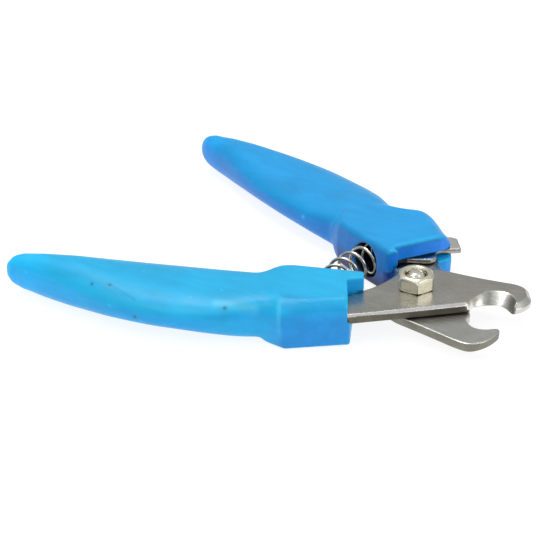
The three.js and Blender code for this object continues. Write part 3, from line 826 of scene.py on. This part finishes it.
def paint_reflection_bands(o, half, stops):
    me = o.data
    x, y, z = local_of(me, half)
    v = np.interp(x, [p[0] for p in stops], [p[1] for p in stops])
    at = me.color_attributes.new("reflection_band", "FLOAT_COLOR", "POINT")
    c = np.ones((len(x), 4))
    c[:, :3] = v[:, None]
    at.data.foreach_set("color", c.ravel())


# Painted reflection: light and dark bands across the upper blade's notch.
paint_reflection_bands(upper, "front", [(12.6, 1.16), (13.3, 1.18), (14.5, 1.10), (15.6, 0.88), (16.6, 0.58), (17.5, 0.48), (18.4, 0.68), (19.6, 0.98), (20.8, 0.92), (21.8, 0.60), (22.6, 0.36), (23.4, 0.30), (24.0, 0.42)])
lower = field_plate("lower_blade_plate", "rear", LO_Z0, LO_Z1, catmull(LOWER, LO_SHARP, 0.5)[0], const(0.16), lambda X, Y: 0.26 + 0.22 * ease((X - 22.2) / 2.0) * ease((4.0 - Y) / 4.0), 0.14, [(0, 0, 2.8), (RIV[0], RIV[1], 1.7)], [M_LO, M_EDGE_LO, M_HOOK, M_POLISH], lo_pick, HB)
# Painted reflection: light and dark bands across the lower blade's notch.
paint_reflection_bands(lower, "rear", [(12.6, 0.6), (15.5, 0.8), (18.0, 0.5), (20.5, 0.8), (22.8, 0.5)])
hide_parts("lower_blade")
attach(lower, "rear")

# The lever's nose (y > -8.6) takes the near-black painted shade; other walls take the sheared-edge finish.
lever = field_plate("lock_lever_plate", "rear", -0.2, 1.15, catmull(LEVER, LE_SHARP, 0.4)[0], const(0.22), const(0.22), 0.0, [(RIV[0], RIV[1], 1.7)], [M_LEVER, M_LEVER_EDGE, M_POCKET_SHADE], lambda x, y, z, nz: np.where(y > -8.6, 2, (np.abs(nz) < 0.85).astype(int)), 0.13, None, 0.20)
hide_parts("lock_lever")
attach(lever, "lock")


# ------------------------------------------------------------------ nut and bolt
def revolve_grid(name, rows, half, closed_ring=True, mats=()):
    """rows: list of (n, 3) rings, outermost surface order; ends are joined to each other, so the body is closed."""
    m, n = len(rows), len(rows[0])
    V = np.concatenate(rows)
    F = []
    for i in range(m if closed_ring else m - 1):
        a, b = i * n, ((i + 1) % m) * n
        for j in range(n):
            k = (j + 1) % n
            F.append((a + j, a + k, b + k, b + j))
    o = new_mesh(name, V, F, half)
    for x in mats:
        o.data.materials.append(x)
    return o


def nut_mesh():
    z0, z1 = UP_Z1 + 0.06, UP_Z1 + GAP + 3.55
    n = 240
    ang = np.linspace(0, 2 * math.pi, n, endpoint=False)
    off = math.radians(-77.0)
    rel = (ang + math.pi / 6) % (math.pi / 3) - math.pi / 6     # angle from the nearest corner
    ap = 4.0
    hexr = ap / np.cos(np.abs(rel) - math.pi / 6)
    soft = 0.10
    hexr = hexr - soft * np.exp(-(rel / 0.035) ** 2)
    th = ang + off
    def ring(r, z):
        r = np.broadcast_to(r, (n,))
        z = np.broadcast_to(z, (n,))
        return np.c_[r * np.cos(th), r * np.sin(th), z]
    rc = 3.62
    slope = math.tan(math.radians(30))
    zt = z1 - np.maximum(hexr - rc, 0) * slope
    zb = z0 + np.maximum(hexr - 4.05, 0) * slope * 0.8
    rows = []
    rows.append(ring(hexr - 0.06, zb))
    rows.append(ring(hexr, zb + 0.08))
    for f in (0.25, 0.5, 0.75):
        rows.append(ring(hexr, zb + 0.08 + (zt - zb - 0.2) * f))
    rows.append(ring(hexr, zt - 0.12))
    rows.append(ring(hexr - 0.03, zt - 0.03))
    rows.append(ring(hexr - 0.12, zt + 0.05))
    mid = np.maximum(hexr - 0.35, rc + 0.02)
    rows.append(ring(mid, z1 - np.maximum(mid - rc, 0) * slope))
    rows.append(ring(rc, z1))
    rows.append(ring(rc - 0.25, z1 + 0.015))
    for r in (3.4, 3.15, 3.0):
        rows.append(ring(r, z1 + 0.01))
    rows.append(ring(2.93, z1 - 0.03))
    # threaded bore
    pitch, depth, top, bot = 0.8, 0.36, z1 - 0.45, z0 + 0.4
    rows.append(ring(2.62, z1 - 0.33))
    m = int((top - bot) / (pitch / 8))
    for i in range(m + 1):
        z = top + (bot - top) * i / m
        ph = (z / pitch - (th / (2 * math.pi))) % 1.0
        tri = 1 - np.abs(2 * ph - 1)
        fade = min(1.0, i / 6, (m - i) / 6)
        rows.append(ring(2.62 + depth * 0.5 * (tri - 0.5) * fade, z))
    rows.append(ring(2.62, z0 + 0.35))
    rows.append(ring(2.95, z0))
    rows.append(ring(3.9, z0))
    o = revolve_grid("hex_nut", rows, "front", True, (M_NUT,))
    o.data.set_sharp_from_angle(angle=math.radians(32))
    return o


def bolt_mesh():
    n = 120
    th = np.linspace(0, 2 * math.pi, n, endpoint=False)
    def ring(r, z):
        r = np.broadcast_to(r, (n,))
        z = np.broadcast_to(z, (n,))
        return np.c_[r * np.cos(th), r * np.sin(th), z]
    top = UP_Z1 + GAP + 3.55 - 0.02
    h0 = LO_Z0 - GAP
    rows = [ring(1e-3, h0 - 2.6), ring(1.2, h0 - 2.58), ring(2.4, h0 - 2.5), ring(3.2, h0 - 2.25), ring(3.9, h0 - 1.8), ring(4.3, h0 - 1.2), ring(4.52, h0 - 0.5), ring(4.55, h0 - 0.12), ring(4.48, h0), ring(2.5, h0), ring(2.46, h0 + 0.1)]
    z = UP_Z1
    rows.append(ring(2.46, z - 0.1))
    pitch, depth = 0.8, 0.42
    m = int((top - 0.2 - z) / (pitch / 10))
    for i in range(m + 1):
        zz = z + (top - 0.2 - z) * i / m
        ph = (zz / pitch - (th / (2 * math.pi))) % 1.0
        tri = 1 - np.abs(2 * ph - 1)
        lead = np.clip((top - 0.12 - zz) / 1.0, 0, 1)
        fade = min(1.0, i / 8)
        r = 2.24 + depth * 0.5 * (tri - 0.5) * fade - (1 - lead) * 0.84
        rows.append(ring(r, zz))
    rows += [ring(1.37, top - 0.10), ring(1.28, top + 0.0), ring(1.14, top + 0.07), ring(0.95, top + 0.11), ring(0.7, top + 0.14), ring(0.42, top + 0.16), ring(0.2, top + 0.17), ring(1e-3, top + 0.17)]
    o = revolve_grid("pivot_screw", rows, "front", False, (M_BOLT,))
    me = o.data
    bm = bmesh.new()
    bm.from_mesh(me)
    bmesh.ops.remove_doubles(bm, verts=bm.verts, dist=0.000004)
    bmesh.ops.holes_fill(bm, edges=[e for e in bm.edges if e.is_boundary], sides=0)
    bmesh.ops.recalc_face_normals(bm, faces=bm.faces)
    bm.to_mesh(me)
    bm.free()
    me.polygons.foreach_set("use_smooth", np.ones(len(me.polygons), bool))
    me.set_sharp_from_angle(angle=math.radians(40))
    return o


nut = nut_mesh()
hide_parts("pivot_nut")
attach(nut, "front")
bolt = bolt_mesh()
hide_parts("pivot_bolt")
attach(bolt, "front")


# ------------------------------------------------------------------ return spring
def spring_mesh():
    a = HALF
    px, mouth, inset = -20.1, -1.0, 6.2
    mx, my = px * math.cos(a) - mouth * math.sin(a), px * math.sin(a) + mouth * math.cos(a)
    dx, dy = -math.sin(a), math.cos(a)
    cx = mx + my * dy / dx
    R = math.hypot(mx - cx, my)
    arc = R * 2 * a
    total = 2 * inset + arc
    wire, rad = 0.42, 3.55
    def at(s):
        if s < inset:
            return (mx + dx * (s - inset), my + dy * (s - inset)), (dx, dy)
        if s > inset + arc:
            q = s - inset - arc
            return (mx - dx * q, -my + dy * q), (-dx, dy)
        q = -a + (s - inset) / R
        return (cx - R * math.cos(q), R * math.sin(q)), (math.sin(q), math.cos(q))
    close, pitch_end = 1.1, 1.0
    lead = close * pitch_end
    turns_mid = 7.0
    body = total - 2 * wire - 2 * lead
    turns = turns_mid + 2 * close
    phase0 = 0.55
    K = int(turns * (40))
    pts = []
    for i in range(K + 1):
        w = turns * i / K
        if w < close:
            s = wire + w * pitch_end
        elif w > turns - close:
            s = total - wire - (turns - w) * pitch_end
        else:
            s = wire + lead + (w - close) / turns_mid * body
        (x, y), (tx, ty) = at(s)
        ph = 2 * math.pi * (w + phase0)
        nx, ny = -ty, tx
        pts.append((x + nx * rad * math.cos(ph), y + ny * rad * math.cos(ph), rad * math.sin(ph)))
    P = np.array(pts)
    T = np.gradient(P, axis=0)
    T /= np.linalg.norm(T, axis=1)[:, None]
    n = 14
    up = np.array([0, 0, 1.0])
    U = np.cross(T[0], up)
    U /= np.linalg.norm(U)
    rings = []
    for i in range(len(P)):
        U = U - T[i] * (U @ T[i])
        U /= np.linalg.norm(U)
        W = np.cross(T[i], U)
        k = np.linspace(0, 2 * math.pi, n, endpoint=False)
        end = min(i, len(P) - 1 - i)
        r = wire * (0.7 if end == 0 else 1.0)
        rings.append(P[i] + r * (np.cos(k)[:, None] * U + np.sin(k)[:, None] * W))
    V = np.concatenate(rings)
    F = []
    for i in range(len(P) - 1):
        for j in range(n):
            k = (j + 1) % n
            F.append((i * n + j, i * n + k, (i + 1) * n + k, (i + 1) * n + j))
    F.append(tuple(range(n))[::-1])
    F.append(tuple((len(P) - 1) * n + j for j in range(n)))
    o = new_mesh("coil_spring", V, F, "centre")
    bm = bmesh.new()
    bm.from_mesh(o.data)
    bmesh.ops.recalc_face_normals(bm, faces=bm.faces)
    bm.to_mesh(o.data)
    bm.free()
    o.data.materials.append(M_SPRING)
    o.data.polygons.foreach_set("use_smooth", np.ones(len(o.data.polygons), bool))
    return o


spring = spring_mesh()
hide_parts("return_spring")
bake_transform(spring)

# the rivet is a plain pin inside the grip: only its material changes
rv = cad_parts["lock_rivet"]
rv.data.materials.clear()
rv.data.materials.append(M_RIVET)

# ------------------------------------------------------------------ floor
floor_me = bpy.data.meshes.new("floor")
S = 3.0
floor_me.from_pydata([(-S, -S, -0.00015), (S, -S, -0.00015), (S, S, -0.00015), (-S, S, -0.00015)], [], [(0, 1, 2, 3)])
floor = bpy.data.objects.new("floor", floor_me)
bpy.context.scene.collection.objects.link(floor)
fm = bpy.data.materials.new("floor_white")
nt, b = nodes_of(fm)
b.inputs["Base Color"].default_value = (0.24, 0.24, 0.24, 1)
b.inputs["Emission Color"].default_value = (1, 1, 1, 1)
b.inputs["Emission Strength"].default_value = 0.84
b.inputs["Roughness"].default_value = 0.9
b.inputs["Specular IOR Level"].default_value = 0.1
floor_me.materials.append(fm)

# ------------------------------------------------------------------ light
world = bpy.data.worlds.new("studio")
bpy.context.scene.world = world
world.use_nodes = True
bg = world.node_tree.nodes["Background"]
wt = world.node_tree
wc = wt.nodes.new("ShaderNodeTexCoord")
ws = wt.nodes.new("ShaderNodeSeparateXYZ")
wt.links.new(wc.outputs["Generated"], ws.inputs[0])
wr = ramp(wt, ws.outputs["Z"], [(0.0, (0.38, 0.38, 0.37, 1)), (0.35, (0.47, 0.47, 0.46, 1)), (0.7, (0.62, 0.64, 0.65, 1)), (1.0, (0.80, 0.82, 0.84, 1))])
wt.links.new(wr.outputs["Color"], bg.inputs["Color"])
bg.inputs["Strength"].default_value = 1.0

CENTRE = Vector((0.0, 0.0, 0.006))


def area(name, az, el, dist, size, power, color=(1, 1, 1)):
    """A soft box at azimuth az (0 looks along +Y, so the lamp is on the -Y side) and elevation el."""
    a, e = math.radians(az), math.radians(el)
    pos = CENTRE + dist * Vector((math.sin(a) * math.cos(e), -math.cos(a) * math.cos(e), math.sin(e)))
    li = bpy.data.lights.new(name, "AREA")
    li.shape = "RECTANGLE"
    li.size, li.size_y = size
    li.energy = power
    li.color = color
    o = bpy.data.objects.new(name, li)
    o.location = pos
    o.rotation_euler = (CENTRE - pos).to_track_quat("-Z", "Y").to_euler()
    bpy.context.scene.collection.objects.link(o)
    return o


area("back_top_box", -111.8, 74.4, 0.9, (0.50, 0.28), 3.5)
area("front_box", -5, 50, 0.7, (0.5, 0.30), 0.8)
area("right_box", 85, 24, 0.6, (0.35, 0.30), 0.7)

# ------------------------------------------------------------------ camera
cam = bpy.data.cameras.new("camera")
co = bpy.data.objects.new("camera", cam)
bpy.context.scene.collection.objects.link(co)
C = Vector((168.571 + 31.48, -326.491, 207.242 + 6.0)) * MM
az, el, roll = math.radians(32.69), math.radians(28.75), math.radians(-0.09)
fw = Vector((-math.sin(az) * math.cos(el), math.cos(az) * math.cos(el), -math.sin(el)))
rt = Vector((math.cos(az), math.sin(az), 0))
up = rt.cross(fw)
rt, up = rt * math.cos(roll) + up * math.sin(roll), up * math.cos(roll) - rt * math.sin(roll)
co.matrix_world = Matrix(((rt.x, up.x, -fw.x, C.x), (rt.y, up.y, -fw.y, C.y), (rt.z, up.z, -fw.z, C.z), (0, 0, 0, 1)))
cam.sensor_width = 36.0
cam.lens = 36.0 * 1771.0 / 540.0
cam.clip_start, cam.clip_end = 0.01, 20.0
bpy.context.scene.camera = co
bpy.context.scene.view_settings.view_transform = "Standard"
